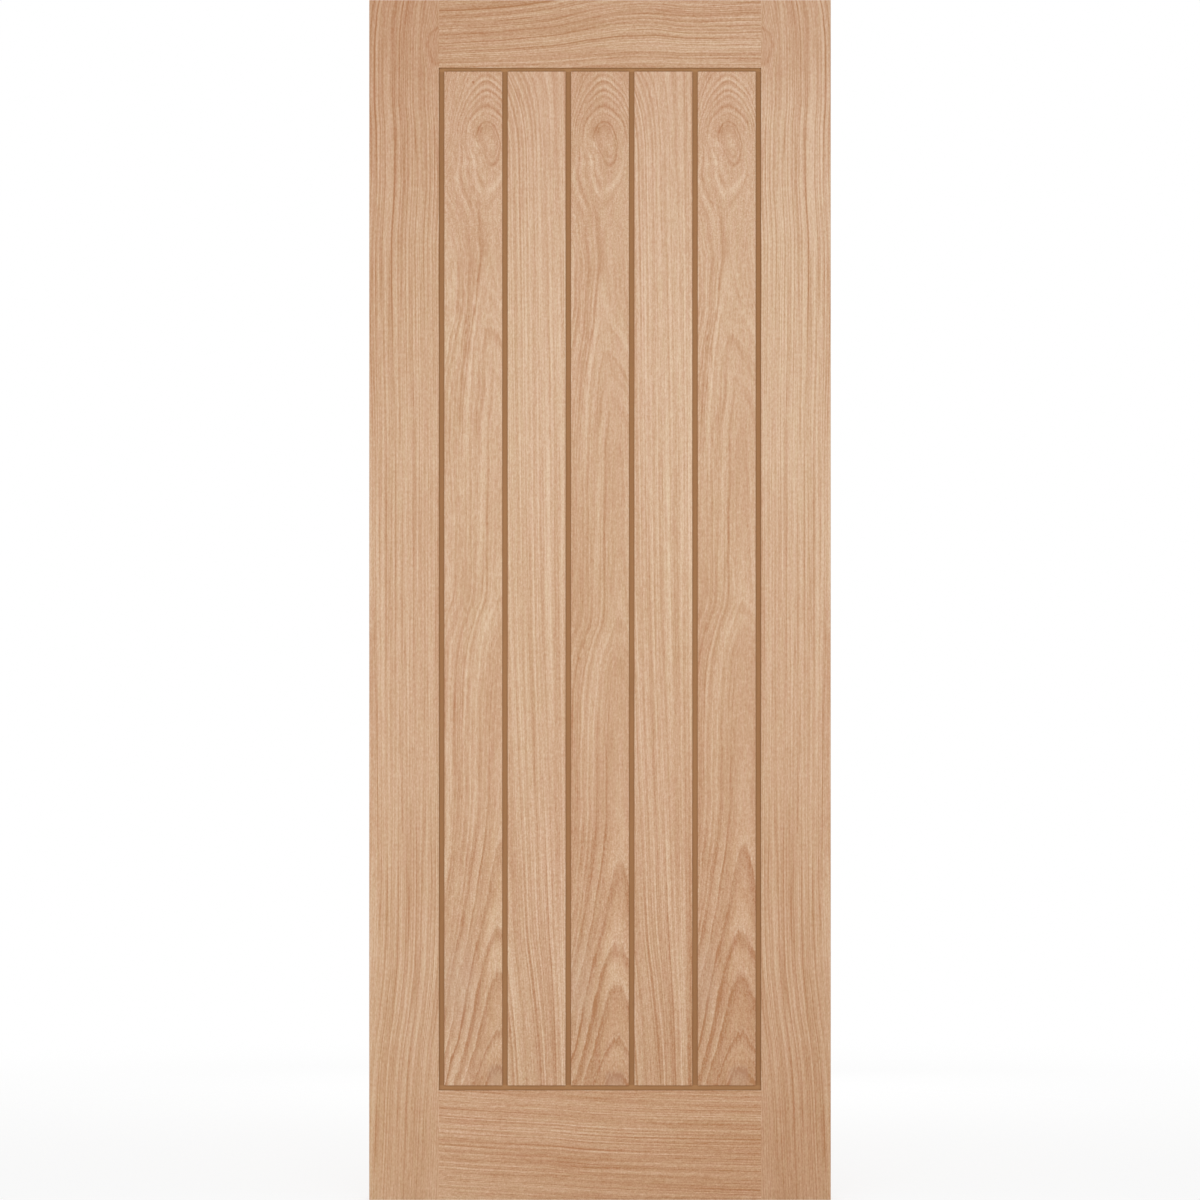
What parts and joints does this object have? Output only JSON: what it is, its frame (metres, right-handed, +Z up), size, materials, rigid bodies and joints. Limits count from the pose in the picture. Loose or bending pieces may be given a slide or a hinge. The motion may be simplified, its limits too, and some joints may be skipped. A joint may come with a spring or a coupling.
{
  "type": "boarded oak fire door leaf",
  "caption": "Flush oak-veneered fire door leaf: stiles and rails frame a panel of upright boards parted by square brown channels; hung by its long edge to close an opening.",
  "frame": {"origin": "foot of the hinge edge, at the middle of the leaf's thickness", "axes": "+X across the leaf from the hinge edge to the latch edge, +Y from the front face to the back face, +Z up"},
  "size_m": [0.762, 0.044, 1.981],
  "materials": {
    "oak_veneer": "satin",
    "solid_oak": "satin",
    "engineered_core": "sawn",
    "brown_board": "matt stain"
  },
  "bodies": {
    "root": {"back_board_1": "oak_veneer", "back_board_2": "oak_veneer", "back_board_3": "oak_veneer", "back_board_4": "oak_veneer", "back_board_5": "oak_veneer", "bottom_rail_back_veneer": "oak_veneer", "bottom_rail_core": "engineered_core", "bottom_rail_front_veneer": "oak_veneer", "front_board_1": "oak_veneer", "front_board_2": "oak_veneer", "front_board_3": "oak_veneer", "front_board_4": "oak_veneer", "front_board_5": "oak_veneer", "left_edge_lipping": "solid_oak", "left_stile_back_veneer": "oak_veneer", "left_stile_core": "engineered_core", "left_stile_front_veneer": "oak_veneer", "panel_core": "brown_board", "right_edge_lipping": "solid_oak", "right_stile_back_veneer": "oak_veneer", "right_stile_core": "engineered_core", "right_stile_front_veneer": "oak_veneer", "top_rail_back_veneer": "oak_veneer", "top_rail_core": "engineered_core", "top_rail_front_veneer": "oak_veneer"}
  },
  "joints": []
}
